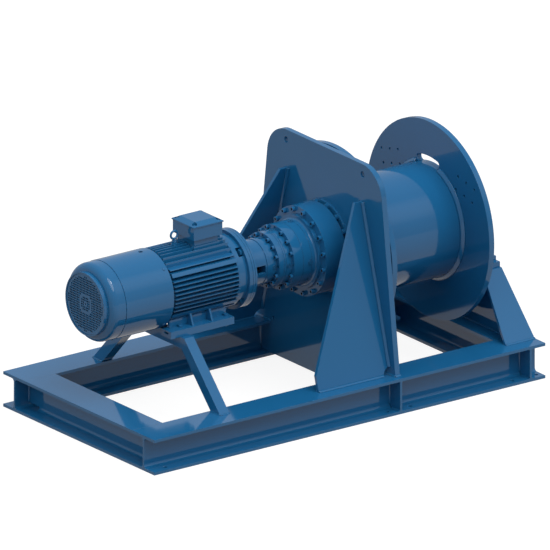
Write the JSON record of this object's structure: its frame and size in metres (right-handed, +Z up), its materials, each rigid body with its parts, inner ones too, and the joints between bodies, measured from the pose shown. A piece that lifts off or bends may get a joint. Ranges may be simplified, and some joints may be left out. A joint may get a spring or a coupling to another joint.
{
  "type": "wire rope winch",
  "caption": "Wire rope winch: brake motor, planetary gearbox and flanged drum on one line above a welded beam frame with gearbox plate, gussets, trestle and bearing pedestal.",
  "frame": {"origin": "middle of the footprint on the ground", "axes": "+X along the drum axis from the motor to the bearing pedestal, +Z up"},
  "size_m": [2.08, 1.09, 1.059],
  "materials": {
    "paint": "gloss",
    "steel": "satin",
    "magnet": "satin",
    "copper": "satin"
  },
  "bodies": {
    "frame": {"side_rails": "paint", "end_beams": "paint", "web_stiffeners": "paint", "gearbox_plate": "paint", "plate_gussets": "paint", "pedestal_web": "paint", "pedestal_sides": "paint", "pedestal_top": "paint", "trestle_legs": "paint", "trestle_crossbar": "paint", "motor_housing": "paint", "stator_core": "steel", "stator_winding": "copper", "drive_end_shield": "paint", "rear_end_shield": "paint", "motor_bearings": "steel", "terminal_box": "paint", "terminal_lid": "paint", "lifting_eye": "paint", "fan_cowl": "paint", "cowl_grille": "paint", "brake_magnet": "magnet", "motor_bolts": "paint", "trim_screws": "paint", "adapter_housing": "paint", "first_ring_gear": "paint", "second_ring_gear": "paint", "third_ring_gear": "paint", "output_housing": "paint", "output_bearings": "steel", "housing_screws": "paint", "oil_plugs": "paint", "bearing_base": "paint", "bearing_cap": "paint", "bearing_bolts": "paint", "support_bearing": "steel"},
    "drum": {"drum_barrel": "paint", "left_flange": "paint", "right_flange": "paint", "drive_hub": "paint", "end_disc": "paint", "stub_shaft": "steel", "output_carrier": "steel"},
    "rotor": {"motor_shaft": "steel", "rotor_core": "steel", "cooling_fan": "paint", "brake_disc": "steel", "input_pinion": "steel"},
    "brake_armature": {"brake_armature": "steel"},
    "first_carrier": {"first_carrier": "steel"},
    "second_carrier": {"second_carrier": "steel"},
    "first_planet_a": {"first_planet_a": "steel"},
    "first_planet_b": {"first_planet_b": "steel"},
    "first_planet_c": {"first_planet_c": "steel"},
    "second_planet_a": {"second_planet_a": "steel"},
    "second_planet_b": {"second_planet_b": "steel"},
    "second_planet_c": {"second_planet_c": "steel"},
    "third_planet_a": {"third_planet_a": "steel"},
    "third_planet_b": {"third_planet_b": "steel"},
    "third_planet_c": {"third_planet_c": "steel"}
  },
  "joints": [
    {"name": "drum_spin", "type": "hinge", "parent": "frame", "child": "drum", "pos_m": [0.573, 0, 0.615], "axis": [1, 0, 0], "continuous": true},
    {"name": "rotor_spin", "type": "hinge", "parent": "frame", "child": "rotor", "pos_m": [-0.477, 0, 0.615], "axis": [1, 0, 0], "continuous": true},
    {"name": "first_carrier_spin", "type": "hinge", "parent": "frame", "child": "first_carrier", "pos_m": [-0.023, 0, 0.615], "axis": [1, 0, 0], "continuous": true},
    {"name": "second_carrier_spin", "type": "hinge", "parent": "frame", "child": "second_carrier", "pos_m": [0.075, 0, 0.615], "axis": [1, 0, 0], "continuous": true},
    {"name": "first_planet_a_spin", "type": "hinge", "parent": "first_carrier", "child": "first_planet_a", "pos_m": [-0.023, 0.054, 0.615], "axis": [1, 0, 0], "continuous": true},
    {"name": "first_planet_b_spin", "type": "hinge", "parent": "first_carrier", "child": "first_planet_b", "pos_m": [-0.023, -0.027, 0.66177], "axis": [1, 0, 0], "continuous": true},
    {"name": "first_planet_c_spin", "type": "hinge", "parent": "first_carrier", "child": "first_planet_c", "pos_m": [-0.023, -0.027, 0.56824], "axis": [1, 0, 0], "continuous": true},
    {"name": "second_planet_a_spin", "type": "hinge", "parent": "second_carrier", "child": "second_planet_a", "pos_m": [0.075, 0.0702, 0.615], "axis": [1, 0, 0], "continuous": true},
    {"name": "second_planet_b_spin", "type": "hinge", "parent": "second_carrier", "child": "second_planet_b", "pos_m": [0.075, -0.0351, 0.6758], "axis": [1, 0, 0], "continuous": true},
    {"name": "second_planet_c_spin", "type": "hinge", "parent": "second_carrier", "child": "second_planet_c", "pos_m": [0.075, -0.0351, 0.5542], "axis": [1, 0, 0], "continuous": true},
    {"name": "third_planet_a_spin", "type": "hinge", "parent": "drum", "child": "third_planet_a", "pos_m": [0.184, 0.0999, 0.615], "axis": [1, 0, 0], "continuous": true},
    {"name": "third_planet_b_spin", "type": "hinge", "parent": "drum", "child": "third_planet_b", "pos_m": [0.184, -0.04995, 0.70152], "axis": [1, 0, 0], "continuous": true},
    {"name": "third_planet_c_spin", "type": "hinge", "parent": "drum", "child": "third_planet_c", "pos_m": [0.184, -0.04995, 0.52848], "axis": [1, 0, 0], "continuous": true},
    {"name": "brake_release", "type": "slide", "parent": "frame", "child": "brake_armature", "axis": [-1, 0, 0], "range_m": [0, 0.0006], "stiffness_N_per_m": 60000, "springref_m": -0.002}
  ],
  "couplings": [
    {"joint": "rotor_spin", "follows": "drum_spin", "ratio": 91.125},
    {"joint": "first_carrier_spin", "follows": "drum_spin", "ratio": 20.25},
    {"joint": "second_carrier_spin", "follows": "drum_spin", "ratio": 4.5},
    {"joint": "first_planet_a_spin", "follows": "drum_spin", "ratio": -56.7},
    {"joint": "first_planet_b_spin", "follows": "drum_spin", "ratio": -56.7},
    {"joint": "first_planet_c_spin", "follows": "drum_spin", "ratio": -56.7},
    {"joint": "second_planet_a_spin", "follows": "drum_spin", "ratio": -12.6},
    {"joint": "second_planet_b_spin", "follows": "drum_spin", "ratio": -12.6},
    {"joint": "second_planet_c_spin", "follows": "drum_spin", "ratio": -12.6},
    {"joint": "third_planet_a_spin", "follows": "drum_spin", "ratio": -2.8},
    {"joint": "third_planet_b_spin", "follows": "drum_spin", "ratio": -2.8},
    {"joint": "third_planet_c_spin", "follows": "drum_spin", "ratio": -2.8}
  ]
}
